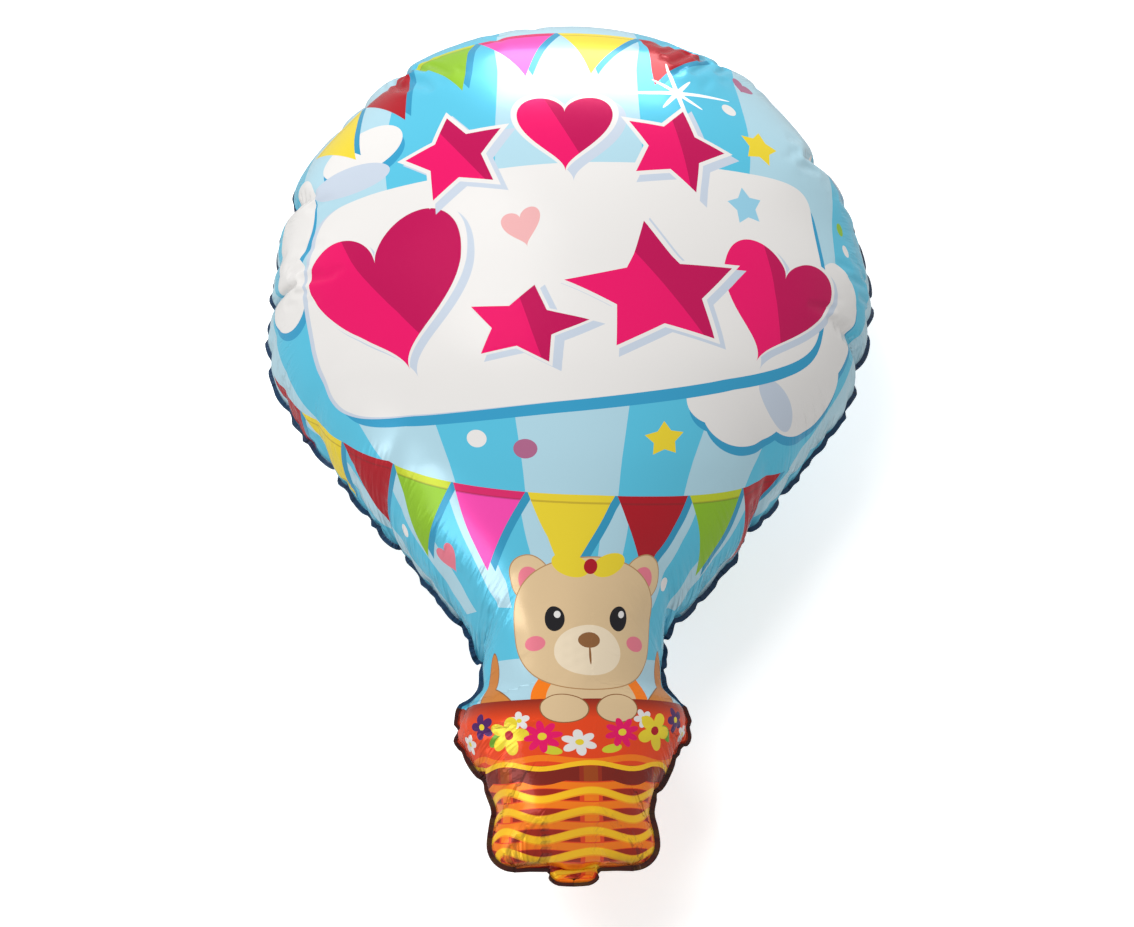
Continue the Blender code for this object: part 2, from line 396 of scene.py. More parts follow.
@dataclass
class Inflation:
    """Inflates the welded double sheet from its flat cut."""

    spacing: float = 0.0052
    quick_spacing: float = 0.0095
    frames: int = 16
    quick_frames: int = 10
    weld_clearance: float = 0.62
    half_depth: float = 0.140
    depth_drops: tuple = (0.08, 0.15, 0.27, 0.35, 0.40, 0.435, 0.44)
    depth_shares: tuple = (1.0, 0.92, 0.66, 0.50, 0.40, 0.12, 0.0)
    spread_power: float = 0.93
    depth_power: float = 1.15
    crease_pitch: float = 0.027
    crease_gaps: Pair = (0.55, 1.45)
    crease_shares: tuple = (0.45, 0.9, 1.5)
    crease_chances: tuple = (0.45, 0.35, 0.20)
    crease_clearance: float = 0.6
    crease_depth: float = 0.0045
    crease_width: float = 0.0065
    crease_reach: float = 0.030
    crease_floor: float = -0.455
    sway_share: float = 0.35
    sway_count: int = 23
    deep_share: float = 2.6
    deep_bearings: tuple = (24.0, 62.0, 104.0, 134.0, 155.0, 201.0, 223.0, 240.0, 268.0, 290.0, 327.0)
    tension: float = 40.0
    compression: float = 4.0
    shear: float = 4.0
    bending: float = 0.02
    damping: float = 5.0
    bending_damping: float = 0.5
    point_mass: float = 0.005
    pressure: float = 20.0
    quality: int = 5
    seed: int = 7

    def run(self) -> Film:
        """Cuts, shapes and inflates the sheets.

        Returns:
            The inflated film, with the envelope's centre at the origin.
        """
        film = self.flat_film()
        film.place = self.first_guess(film)
        film.place = self.simulate(film)
        return film

    def flat_film(self) -> Film:
        """The flat double sheet as an even triangle mesh with the weld as its border.

        Returns:
            The film, flat in its place.
        """
        spacing = self.spacing
        closed = CUT.closed()
        border = spread(closed, round(path_length(closed) / spacing))
        low, high = border.min(0), border.max(0)
        rows = []
        for row, y in enumerate(np.arange(low[1], high[1], spacing * math.sqrt(3) / 2)):
            xs = np.arange(0.0, high[0] + spacing, spacing) + spacing / 2 * (row % 2)
            xs = np.concatenate([-xs[::-1], xs[row % 2 == 0:]])
            rows.append(np.column_stack([xs, np.full_like(xs, y)]))
        grid = np.vstack(rows)
        grid = grid[inside(grid, border)]
        clear = np.ones(len(grid), bool)
        for point in border:
            clear &= ((grid - point) ** 2).sum(1) > (self.weld_clearance * spacing) ** 2
        points = np.vstack([border, grid[clear]])
        count = len(border)
        ring = [(i, (i + 1) % count) for i in range(count)]
        flat, _, faces, *_ = delaunay_2d_cdt([Vector(p) for p in points], ring, [], 1, 1e-9)
        flat, faces = np.array([tuple(p) for p in flat]), np.array([tuple(f) for f in faces])
        edge_a, edge_b = flat[faces[:, 1]] - flat[faces[:, 0]], flat[faces[:, 2]] - flat[faces[:, 0]]
        clockwise = edge_a[:, 0] * edge_b[:, 1] - edge_a[:, 1] * edge_b[:, 0] < 0
        faces[clockwise] = faces[clockwise][:, ::-1]
        total = len(flat)
        twin = np.concatenate([np.arange(count), np.arange(total, 2 * total - count)])
        both = np.vstack([flat, flat[count:]])
        return Film(both, np.column_stack([both, np.zeros(len(both))]), faces, twin[faces][:, ::-1], count)

    def first_guess(self, film: Film) -> Array:
        """A rough inflated shape for the simulation to start from, seeded with puckers.

        Args:
            film: the double sheet.

        Returns:
            A place for each point.
        """
        x, y = film.flat.T
        cut_levels, weld_levels = [0.0, *CUT.drops], [0.0, *WELD.drops]
        cut_levels.append(cut_levels[-1] + CUT.tail_length)
        weld_levels.append(weld_levels[-1] + WELD.tail_length)
        drop = np.interp(-y, cut_levels, weld_levels)
        way = np.where(y >= 0, np.hypot(x, y) / CUT.radius, np.abs(x) / CUT.half_width(-y))
        way = np.clip(way, 0.0, 1.0)
        share = np.sin(way * math.pi / 2) ** self.spread_power
        place = np.zeros((len(x), 3))
        bearing = np.arctan2(x, y)
        place[:, 0] = np.where(
            y >= 0, np.sin(bearing) * share * WELD.radius, np.sign(x) * share * WELD.half_width(drop)
        )
        place[:, 1] = np.where(y >= 0, np.cos(bearing) * share * WELD.radius, -drop)
        depth = np.interp(drop, self.depth_drops, np.array(self.depth_shares) * self.half_depth)
        sign = np.ones(len(x))
        sign[np.unique(film.back)] = -1.0
        sign[:film.border_count] = 0.0
        place[:, 2] = sign * depth * np.sqrt(np.clip(1 - share ** 2, 0.0, 1.0)) ** self.depth_power
        return place + self.puckers(film)

    def puckers(self, film: Film) -> Array:
        """Moves that start the weld's creases, with lobes between them, fading out inwards.

        Args:
            film: the double sheet.

        Returns:
            A move for each point.
        """
        loop = film.flat[:film.border_count]
        station, inset = nearest_on_loop(film.flat, loop)
        length = path_length(CUT.closed())
        at = station / film.border_count * length
        move = np.zeros(len(at))
        for place, depth in self.creases(loop, length):
            away = np.abs((at - place + length / 2) % length - length / 2)
            share = depth / self.crease_depth
            near = np.exp(-away / (self.crease_width * share ** 0.5))
            move -= depth * near * np.exp(-inset / (self.crease_reach * share ** 0.8))
        normals = outward(loop)[station.astype(int) % film.border_count]
        sway = self.sway_share * np.sin(at / length * TURN * self.sway_count) * np.abs(move)
        return np.column_stack([normals * move[:, None], sway])

    def creases(self, loop: Array, length: float) -> list[Pair]:
        """Places round the weld and depths of its creases, the deep ones at set bearings.

        Args:
            loop: the weld on the flat cut.
            length: the weld's length.

        Returns:
            A place along the weld and a depth for each crease.
        """
        rng = np.random.default_rng(self.seed)
        bearings = np.degrees(np.arctan2(loop[:, 0], loop[:, 1])) % 360
        deep = [np.abs(bearings - b).argmin() / len(loop) * length for b in self.deep_bearings]
        gaps = rng.uniform(*self.crease_gaps, round(length / self.crease_pitch))
        places = np.cumsum(gaps) / gaps.sum() * length
        shares = rng.choice(self.crease_shares, len(places), p=self.crease_chances)
        heights = np.interp(places, np.arange(len(loop)) / len(loop) * length, loop[:, 1])
        clearance = self.crease_clearance * self.crease_pitch
        clear = [
            min(abs(place - d) for d in deep) > clearance and height > self.crease_floor
            for place, height in zip(places, heights)
        ]
        small = [(p, s * self.crease_depth) for p, s, ok in zip(places, shares, clear) if ok]
        return small + [(place, self.deep_share * self.crease_depth) for place in deep]

    def simulate(self, film: Film) -> Array:
        """Runs Blender's cloth simulation with pressure inside the double sheet.

        Args:
            film: the double sheet, near its inflated shape.

        Returns:
            A place for each point.
        """
        mesh = bpy.data.meshes.new("film")
        mesh.from_pydata(film.place.tolist(), [], np.vstack([film.front, film.back]).tolist())
        sheet = add_object("film", mesh)
        sheet.shape_key_add(name="Basis")
        flat_key = sheet.shape_key_add(name="flat")
        rest = np.column_stack([film.flat, np.zeros(len(film.flat))])
        flat_key.data.foreach_set("co", rest.astype(np.float32).ravel())
        cloth = sheet.modifiers.new("inflate", "CLOTH")
        frames = self.frames
        settings = cloth.settings
        settings.rest_shape_key = mesh.shape_keys.key_blocks["flat"]
        values = {
            "quality": self.quality, "mass": self.point_mass, "tension_stiffness": self.tension,
            "compression_stiffness": self.compression, "shear_stiffness": self.shear,
            "bending_stiffness": self.bending, "tension_damping": self.damping,
            "compression_damping": self.damping, "shear_damping": self.damping,
            "bending_damping": self.bending_damping, "air_damping": 1.0,
            "use_pressure": True, "uniform_pressure_force": self.pressure,
        }
        for name, value in values.items():
            setattr(settings, name, value)
        settings.effector_weights.gravity = 0.0
        cloth.collision_settings.use_collision = False
        cloth.collision_settings.use_self_collision = False
        cloth.point_cache.frame_start, cloth.point_cache.frame_end = 1, frames
        for step in range(1, frames + 1):
            bpy.context.scene.frame_set(step)
        inflated = sheet.evaluated_get(bpy.context.evaluated_depsgraph_get())
        place = np.empty(len(film.place) * 3, np.float32)
        inflated.data.vertices.foreach_get("co", place)
        bpy.data.objects.remove(sheet)
        bpy.context.scene.frame_set(1)
        return place.reshape(-1, 3).astype(float)


def inside(points: Array, loop: Array) -> Array:
    """Which points lie inside a closed loop.

    Args:
        points: points in the plane.
        loop: the loop's points.

    Returns:
        A flag for each point.
    """
    x, y = points.T
    within = np.zeros(len(points), bool)
    for (xa, ya), (xb, yb) in zip(loop, np.roll(loop, -1, axis=0)):
        if ya != yb:
            within ^= ((ya > y) != (yb > y)) & (x < (xb - xa) * (y - ya) / (yb - ya) + xa)
    return within


def nearest_on_loop(points: Array, loop: Array) -> tuple[Array, Array]:
    """Finds the nearest place on a closed loop for each point.

    Args:
        points: points in the plane.
        loop: the closed loop's points.

    Returns:
        The place as a whole and part index round the loop, and the distance to it.
    """
    station, distance = np.empty(len(points)), np.empty(len(points))
    ahead = np.roll(loop, -1, axis=0) - loop
    length_squared = (ahead ** 2).sum(1)
    for start in range(0, len(points), 2000):
        block = points[start:start + 2000]
        offset = block[:, None, :] - loop[None]
        along = np.clip((offset * ahead[None]).sum(2) / length_squared, 0.0, 1.0)
        gap = np.linalg.norm(offset - along[..., None] * ahead[None], axis=2)
        best = gap.argmin(1)
        rows = np.arange(len(block))
        station[start:start + 2000] = best + along[rows, best]
        distance[start:start + 2000] = gap[rows, best]
    return station, distance


@dataclass
class Fit:
    """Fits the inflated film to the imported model's outline, depth and place."""

    flange_width: float = 0.0045
    scallop_depth: float = 0.0022
    half_depth: float = 0.140
    level_step: float = 0.004
    level_window: int = 4
    smoothing: int = 90
    crown_share: float = 0.9
    middle_half_width: float = 0.01
    most_change: float = 0.16
    floor_blend: float = 0.0025
    floor_reach: float = 6.0

    def place(self, film: Film) -> Array:
        """The film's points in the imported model's frame.

        Args:
            film: the inflated film.

        Returns:
            The places of its points.
        """
        loop = film.place[:film.border_count]
        loop = smoothed(loop, max(2, film.border_count // self.smoothing))
        crown, tail = loop[:, 1].max(), film.place[:film.border_count, 1].min()
        tail_end = -WELD.drops[-1] - WELD.tail_length
        stretch = (WELD.radius - tail_end) / (crown - tail)
        points = film.place.copy()
        points[:, 1] = tail_end + (points[:, 1] - tail) * stretch
        drop, ratio = self.width_ratios(loop, tail, tail_end, stretch)
        points[:, 0] *= np.interp(-points[:, 1], drop, ratio)
        points[:, 2] *= self.half_depth / points[:, 2].max()
        low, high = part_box(Side.FRONT.value)
        points[:, 1] += high[1] - WELD.radius - self.flange_width - self.scallop_depth
        points[:, 2] += low[2]
        return self.on_ground(points)

    def width_ratios(
        self, loop: Array, tail: float, tail_end: float, stretch: float
    ) -> tuple[Array, Array]:
        """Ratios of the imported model's width to the film's, at drops down the balloon.

        Args:
            loop: the film's weld, smoothed.
            tail: the height of its lowest point.
            tail_end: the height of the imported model's tail end.
            stretch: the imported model's length over the film's.

        Returns:
            The drops, and a ratio for each.
        """
        drop = -(tail_end + (loop[:, 1] - tail) * stretch)
        levels = np.arange(-self.crown_share * WELD.radius, WELD.drops[-1], self.level_step)
        widths = []
        for side in (-1, 1):
            half = loop[:, 0] * side > self.middle_half_width
            order = np.argsort(drop[half])
            widths.append(np.interp(levels, drop[half][order], np.abs(loop[half, 0][order])))
        ratio = WELD.half_width(levels) / np.mean(widths, axis=0)
        window = np.ones(2 * self.level_window + 1) / (2 * self.level_window + 1)
        padded = np.pad(ratio, self.level_window, mode="edge")
        ratio = np.convolve(padded, window, mode="valid")
        return levels, np.clip(ratio, 1 - self.most_change, 1 + self.most_change)

    def on_ground(self, points: Array) -> Array:
        """Presses what lies under the ground flat on to it.

        Args:
            points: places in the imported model's frame.

        Returns:
            The same points, none of them under the ground.
        """
        height = points[:, 2]
        soft = np.logaddexp(0.0, height / self.floor_blend) * self.floor_blend
        points[:, 2] = np.where(height < self.floor_reach * self.floor_blend, soft, height)
        return points


@dataclass
class FoilSheet:
    """One sheet of the balloon as a closed mesh: its film, half of the flange and a back."""

    side: Side
    film: Film
    flange_width: float = 0.0045
    film_thickness: float = 0.00018
    weld_gap: float = 0.00004
    flange_rings: tuple[Pair, ...] = ((0.35, 1.0), (0.7, 1.0), (1.0, 1.0), (1.0, 0.0), (0.0, 0.0))
    bend_deg: float = 42.0
    crown_bend_deg: float = 36.0
    bend_waver_deg: float = 14.0
    bend_wavers: tuple[int, ...] = (7, 12, 19)
    bend_limits_deg: Pair = (5.0, 84.0)
    normal_smoothing: int = 3
    calm_inset: float = 0.12
    calm_rings: int = 6
    calm_jump: float = 3.0

    def build(self) -> bpy.types.Object:
        """Makes the sheet's object, with the print and seam coordinates on its corners.

        Returns:
            The sheet's object.
        """
        count = self.film.border_count
        up = 1.0 if self.side is Side.FRONT else -1.0
        faces = self.film.front if self.side is Side.FRONT else self.film.back
        used = np.unique(faces)
        rank = np.zeros(len(self.film.place), int)
        rank[used] = np.arange(len(used))
        skin, flat = self.film.place[used].copy(), self.film.flat[used]
        border, round_weld = flat[:count], np.arange(count)
        station, inset = nearest_on_loop(flat, border)
        inset += self.calm_share(rank[faces], flat, station) * self.calm_inset
        weld = skin[:count].copy()
        normals = outward(smoothed(weld[:, :2], self.normal_smoothing))
        bend = self.bend(border)[:, None]
        out = np.column_stack([normals * np.cos(bend), -np.sin(bend)])
        lift = up * np.column_stack([normals * np.sin(bend), np.cos(bend)])
        skin[:count] += lift * (self.weld_gap + self.film_thickness)
        places, flats, seams = [skin], [flat], [np.column_stack([station, inset])]
        triangles, inner = [rank[faces]], round_weld
        for ring, (share, height) in enumerate(self.flange_rings):
            reach = share * self.flange_width
            places.append(weld + out * reach + lift * (self.weld_gap + self.film_thickness * height))
            flats.append(border + outward(border) * reach)
            seams.append(np.column_stack([round_weld, np.full(count, -reach)]))
            outer = len(skin) + ring * count + round_weld
            next_inner, next_outer = np.roll(inner, -1), np.roll(outer, -1)
            triangles.append(np.column_stack([inner, outer, next_outer]))
            triangles.append(np.column_stack([inner, next_outer, next_inner]))
            inner = outer
        mesh = self.closed_mesh(np.vstack(places), np.vstack(triangles), inner)
        self.add_coordinates(mesh, np.vstack(flats), np.vstack(seams))
        return add_object(self.side.value + "_film", mesh)

    def calm_share(self, faces: Array, flat: Array, station: Array) -> Array:
        """Where the nearest place on the seam jumps, and less so round about, for each point.

        Args:
            faces: the sheet's triangles.
            flat: its points on the flat cut.
            station: each point's nearest place on the seam.

        Returns:
            A share from 0 to 1 for each point.
        """
        count = self.film.border_count
        step = path_length(CUT.closed()) / count
        a, b = faces.ravel(), np.roll(faces, 1, axis=1).ravel()
        jump = np.abs((station[a] - station[b] + count / 2) % count - count / 2) * step
        sharp = jump > self.calm_jump * np.linalg.norm(flat[a] - flat[b], axis=1) + step
        share = np.zeros(len(flat))
        share[a[sharp]] = share[b[sharp]] = 1.0
        for _ in range(self.calm_rings):
            near = share.copy()
            np.maximum.at(near, a, share[b] - 1 / self.calm_rings)
            np.maximum.at(near, b, share[a] - 1 / self.calm_rings)
            share = near
        return share

    def bend(self, border: Array) -> Array:
        """How far the flange bends back round the weld, most of it at the crown.

        Args:
            border: the weld on the flat cut.

        Returns:
            An angle for each weld point, in radians.
        """
        bearing = np.arctan2(border[:, 0], border[:, 1])
        waver = sum(np.sin(bearing * k + k * k) for k in self.bend_wavers) / len(self.bend_wavers)
        bend_deg = self.bend_deg + self.crown_bend_deg * np.cos(bearing) + self.bend_waver_deg * waver
        return np.radians(np.clip(bend_deg, *self.bend_limits_deg))

    def closed_mesh(self, points: Array, triangles: Array, rim: Array) -> bpy.types.Mesh:
        """A mesh of the triangles, closed across its rim and with its normals out.

        Args:
            points: the corners' places.
            triangles: rows of three corners.
            rim: the corners round the open side.

        Returns:
            The mesh.
        """
        mesh = bpy.data.meshes.new(self.side.value + "_film")
        mesh.from_pydata(points.tolist(), [], triangles.tolist())
        work = bmesh.new()
        work.from_mesh(mesh)
        work.verts.ensure_lookup_table()
        lid = work.faces.new([work.verts[i] for i in rim])
        bmesh.ops.triangulate(work, faces=[lid])
        bmesh.ops.recalc_face_normals(work, faces=work.faces[:])
        work.to_mesh(mesh)
        work.free()
        mesh.shade_smooth()
        return mesh

    def add_coordinates(self, mesh: bpy.types.Mesh, flat: Array, seam: Array) -> None:
        """Adds the print's and the seam's coordinates as UV maps.

        Args:
            mesh: the sheet's mesh.
            flat: its points on the flat cut.
            seam: each point's nearest place on the weld, and its distance in.
        """
        corners = np.empty(len(mesh.loops), np.int32)
        mesh.loops.foreach_get("vertex_index", corners)
        count = self.film.border_count
        step = path_length(CUT.closed()) / count
        turn = seam[corners, 0].reshape(-1, 3)
        turn = np.where(turn.max(1, keepdims=True) - turn > count / 2, turn + count, turn)
        along = turn.ravel() * step / SEAM_SCALE[0]
        inset = seam[corners, 1] / SEAM_SCALE[1] + INSET_SHIFT
        layers = {"print": flat[corners] + PRINT_ORIGIN, "seam": np.column_stack([along, inset])}
        for name, values in layers.items():
            layer = mesh.uv_layers.new(name=name)
            layer.uv.foreach_set("vector", values.astype(np.float32).ravel())


def set_inputs(node: bpy.types.Node, values: dict) -> None:
    """Sets a node's inputs by their names."""
    for name, value in values.items():
        node.inputs[name].default_value = value


@dataclass
class Ink:
    """Draws a print with shader nodes, one layer of ink over another.

    A point of the print is (x, y, 1), so one dot product gives any linear measure of it.
    """

    material: bpy.types.Material
    ground: Colour

    def __post_init__(self) -> None:
        """Finds the print's coordinates in metres from the envelope's centre."""
        self.nodes = self.material.node_tree.nodes
        self.links = self.material.node_tree.links
        uv = self.nodes.new("ShaderNodeUVMap")
        uv.uv_map = "print"
        self.point = self.vector("SUBTRACT", uv.outputs["UV"], (*PRINT_ORIGIN, -1.0)).outputs[0]
        self.x, self.y = self.local((0.0, 0.0))
        self.colour = None

    def vector(self, operation: str, first: Socket, second: tuple) -> bpy.types.Node:
        """A Vector Math node on a socket and a constant.

        Args:
            operation: the node's operation.
            first: the socket.
            second: the constant.

        Returns:
            The node.
        """
        node = self.nodes.new("ShaderNodeVectorMath")
        node.operation = operation
        self.links.new(first, node.inputs[0])
        node.inputs[1].default_value = second
        return node

    def math(self, operation: str, *values: Number) -> Socket:
        """A Math node's result on sockets or numbers.

        Args:
            operation: the node's operation.
            values: what its inputs get.

        Returns:
            The result's socket.
        """
        node = self.nodes.new("ShaderNodeMath")
        node.operation = operation
        for socket, value in zip(node.inputs, values):
            if isinstance(value, (int, float)):
                socket.default_value = value
            else:
                self.links.new(value, socket)
        return node.outputs[0]

    under = partialmethod(math, "LESS_THAN")
    over = partialmethod(math, "GREATER_THAN")
    within = partialmethod(math, "COMPARE")
    line = partialmethod(math, "MULTIPLY_ADD")
    times = partialmethod(math, "MULTIPLY")
    minus = partialmethod(math, "SUBTRACT")
    absolute = partialmethod(math, "ABSOLUTE")
    folded = partialmethod(math, "PINGPONG")
    bearing = partialmethod(math, "ARCTAN2")
    most = partialmethod(math, "MAXIMUM")

    def local(
        self, at: Pair, size: Pair = (1.0, 1.0), turn_deg: float = 0.0
    ) -> tuple[Socket, Socket]:
        """The print's x and y from a place, in shares of a size and turned.

        Args:
            at: the place.
            size: the size across and up.
            turn_deg: the turn, anticlockwise.

        Returns:
            The sockets of x and y.
        """
        cos, sin = math.cos(math.radians(turn_deg)), math.sin(math.radians(turn_deg))
        return tuple(
            self.vector(
                "DOT_PRODUCT", self.point, (a / scale, b / scale, -(a * at[0] + b * at[1]) / scale)
            ).outputs["Value"]
            for a, b, scale in ((cos, sin, size[0]), (-sin, cos, size[1]))
        )

    def length(self, x: Socket, y: Socket) -> Socket:
        """The length of a vector with two parts."""
        return self.math("SQRT", self.math("MULTIPLY_ADD", x, x, self.math("MULTIPLY", y, y)))

    def away(self, at: Pair) -> Socket:
        """The distance from a place on the print."""
        return self.vector("DISTANCE", self.point, (*at, 1.0)).outputs["Value"]

    def paint(self, mask: Socket, colour: Socket | tuple) -> None:
        """Lays a colour where a mask is 1.

        Args:
            mask: a socket from 0 to 1.
            colour: a linear colour, or a socket that gives one.
        """
        node = self.nodes.new("ShaderNodeMix")
        node.data_type = "RGBA"
        self.links.new(mask, node.inputs[0])
        for socket, value in ((node.inputs[6], self.colour or self.ground), (node.inputs[7], colour)):
            if isinstance(value, tuple):
                socket.default_value = (*value, 1.0)
            else:
                self.links.new(value, socket)
        self.colour = node.outputs[2]

    def both(self, *masks: Number) -> Socket:
        """Where all of the masks are 1.

        Args:
            masks: sockets or numbers from 0 to 1.

        Returns:
            The masks' product.
        """
        result = masks[0]
        for mask in masks[1:]:
            result = self.math("MULTIPLY", result, mask)
        return result

    def curve(self, x: Socket, level: float, slope: float, bend: float) -> Socket:
        """The height of a parabola at x."""
        return self.math("MULTIPLY_ADD", self.math("MULTIPLY_ADD", x, bend, slope), x, level)


@dataclass(frozen=True)
class Spot:
    """An ellipse of ink."""

    at: Pair
    size: Pair
    colour: Colour
    turn_deg: float = 0.0

    def draw(self, ink: Ink) -> None:
        """Lays the ellipse.

        Args:
            ink: what draws the print.
        """
        if self.size[0] == self.size[1]:
            ink.paint(ink.under(ink.away(self.at), self.size[0]), self.colour)
        else:
            reach = ink.length(*ink.local(self.at, self.size, self.turn_deg))
            ink.paint(ink.under(reach, 1.0), self.colour)


def dab(ink: Ink, *spots: tuple) -> None:
    """Lays ellipses, each from its place, size, colour and turn."""
    for spot in spots:
        Spot(*spot).draw(ink)


@dataclass(frozen=True)
class Motif:
    """A small shape of ink, with a darker side, an outline and a shadow where it has them."""

    at: Pair
    size: float
    colour: Colour
    turn_deg: float = 0.0
    side_colour: Colour | None = None
    side_start: float = 0.12
    side_slant: float = 0.45
    outline: float = 0.0
    outline_colour: Colour = (0.0, 0.0, 0.0)
    shadow: Pair = (0.0, 0.0)
    shadow_colour: Colour = (0.0, 0.0, 0.0)

    def draw(self, ink: Ink) -> None:
        """Lays the shadow, the outline and the shape.

        Args:
            ink: what draws the print.
        """
        size = (self.size, self.size)
        if self.shadow != (0.0, 0.0):
            at = (self.at[0] + self.shadow[0], self.at[1] + self.shadow[1])
            reach = self.reach(ink, *ink.local(at, size, self.turn_deg))
            ink.paint(ink.under(reach, 1.0 + self.outline), self.shadow_colour)
        x, y = ink.local(self.at, size, self.turn_deg)
        reach = self.reach(ink, x, y)
        if self.outline:
            ink.paint(ink.under(reach, 1.0 + self.outline), self.outline_colour)
        shape = ink.under(reach, 1.0)
        ink.paint(shape, self.colour)
        if self.side_colour:
            slant = ink.line(y, self.side_slant, x)
            side = ink.both(shape, ink.over(slant, self.side_start))
            ink.paint(side, self.side_colour)

    def reach(self, ink: Ink, x: Socket, y: Socket) -> Socket:
        """How far out a place is, as a share of the shape's edge."""
        raise NotImplementedError


@dataclass(frozen=True)
class Heart(Motif):
    """A heart."""

    def reach(self, ink: Ink, x: Socket, y: Socket) -> Socket:
        """The heart's curve: x^2 + (1.25 y - sqrt|x|)^2 = 1.

        Args:
            ink: what draws the print.
            x: the place across, in shares of the shape's size.
            y: the place up, in shares of the shape's size.

        Returns:
            The share, which is 1 on the edge.
        """
        lobe = ink.math("SQRT", ink.absolute(x))
        rise = ink.minus(ink.times(y, 1.25), lobe)
        return ink.length(x, rise)


@dataclass(frozen=True)
class Star(Motif):
    """A star with straight sides."""

    points: int = 5
    waist: float = 0.52

    def reach(self, ink: Ink, x: Socket, y: Socket) -> Socket:
        """The distance to the side that runs from a tip to a waist.

        Args:
            ink: what draws the print.
            x: the place across, in shares of the shape's size.
            y: the place up, in shares of the shape's size.

        Returns:
            The distance, which is 1 on the edge.
        """
        half = math.pi / self.points
        side = math.atan2(1 - self.waist * math.cos(half), self.waist * math.sin(half))
        folded = ink.folded(ink.bearing(x, y), half)
        across = ink.math("COSINE", ink.minus(folded, side))
        return ink.times(ink.times(ink.length(x, y), across), 1 / math.cos(side))


@dataclass(frozen=True)
class Blossom(Motif):
    """A flower with round petals."""

    petals: int = 5
    core: float = 0.5

    def reach(self, ink: Ink, x: Socket, y: Socket) -> Socket:
        """The distance as a share of the petals' wavy edge.

        Args:
            ink: what draws the print.
            x: the place across, in shares of the shape's size.
            y: the place up, in shares of the shape's size.

        Returns:
            The share, which is 1 on the edge.
        """
        wave = ink.math("COSINE", ink.times(ink.bearing(x, y), self.petals / 2))
        edge = ink.line(ink.absolute(wave), 1 - self.core, self.core)
        return ink.math("DIVIDE", ink.length(x, y), edge)


@dataclass(frozen=True)
class Bunting:
    """Pennants with a hem, side by side on an arc."""

    centre: Pair
    radius: float
    pennant_width: float
    pennant_length: float
    first_deg: float
    colours: tuple[Colour, ...]
    hangs_inwards: bool = False
    hem_share: float = 0.095
    shadow_shift: float = 0.11
    shadow_colour: Colour = (0.03, 0.30, 0.50)
    stitch_colour: Colour = (0.12, 0.02, 0.02)
    stitch_strength: float = 0.35
    stitch_half: float = 0.012
    half_width: float = 0.485

    def draw(self, ink: Ink) -> None:
        """Lays the pennants' shadows, the pennants and their hems.

        Args:
            ink: what draws the print.
        """
        x, y = ink.local(self.centre)
        down = 1.0 if self.hangs_inwards else -1.0
        angle = ink.bearing(x, ink.times(y, down))
        step = self.pennant_width / self.radius
        turn = ink.line(angle, 1 / step, -math.radians(self.first_deg) / step)
        share = down / self.pennant_length
        drop = ink.line(ink.away(self.centre), -share, share * self.radius)
        shadow = self.row(ink, ink.minus(turn, self.shadow_shift), drop)
        ink.paint(shadow, self.shadow_colour)
        row = self.row(ink, turn, drop)
        ink.paint(row, self.ramp(ink, turn, self.colours))
        hem = ink.both(row, ink.under(drop, self.hem_share))
        ink.paint(hem, self.ramp(ink, turn, [INKS.hems.get(colour, colour) for colour in self.colours]))
        stitch = ink.both(row, ink.within(drop, self.hem_share, self.stitch_half))
        ink.paint(ink.times(stitch, self.stitch_strength), self.stitch_colour)

    def row(self, ink: Ink, turn: Socket, drop: Socket) -> Socket:
        """Where a row of pennants lies.

        Args:
            ink: what draws the print.
            turn: the place along the row, counted in pennants.
            drop: the place down the row, in shares of a pennant.

        Returns:
            A mask that is 1 on the pennants.
        """
        half_count = len(self.colours) / 2
        cell = ink.math("FLOOR", turn)
        off_middle = ink.absolute(ink.minus(ink.minus(turn, cell), 0.5))
        reach = ink.line(drop, self.half_width, off_middle)
        within = ink.under(reach, self.half_width)
        hung = ink.over(drop, 0.0)
        return ink.both(within, hung, ink.within(turn, half_count, half_count))

    def ramp(self, ink: Ink, turn: Socket, colours: list | tuple) -> Socket:
        """One colour for each pennant.

        Args:
            ink: what draws the print.
            turn: the place along the row, counted in pennants.
            colours: the pennants' colours, in order.

        Returns:
            The colour's socket.
        """
        count = len(colours)
        node = ink.nodes.new("ShaderNodeValToRGB")
        node.color_ramp.interpolation = "CONSTANT"
        elements = node.color_ramp.elements
        for index, colour in enumerate(colours):
            element = elements[index] if index < 2 else elements.new(1.0)
            element.position = index / count
            element.color = (*colour, 1.0)
        cell = ink.math("FLOOR", turn)
        ink.links.new(ink.line(cell, 1 / count, 0.5 / count), node.inputs[0])
        return node.outputs[0]


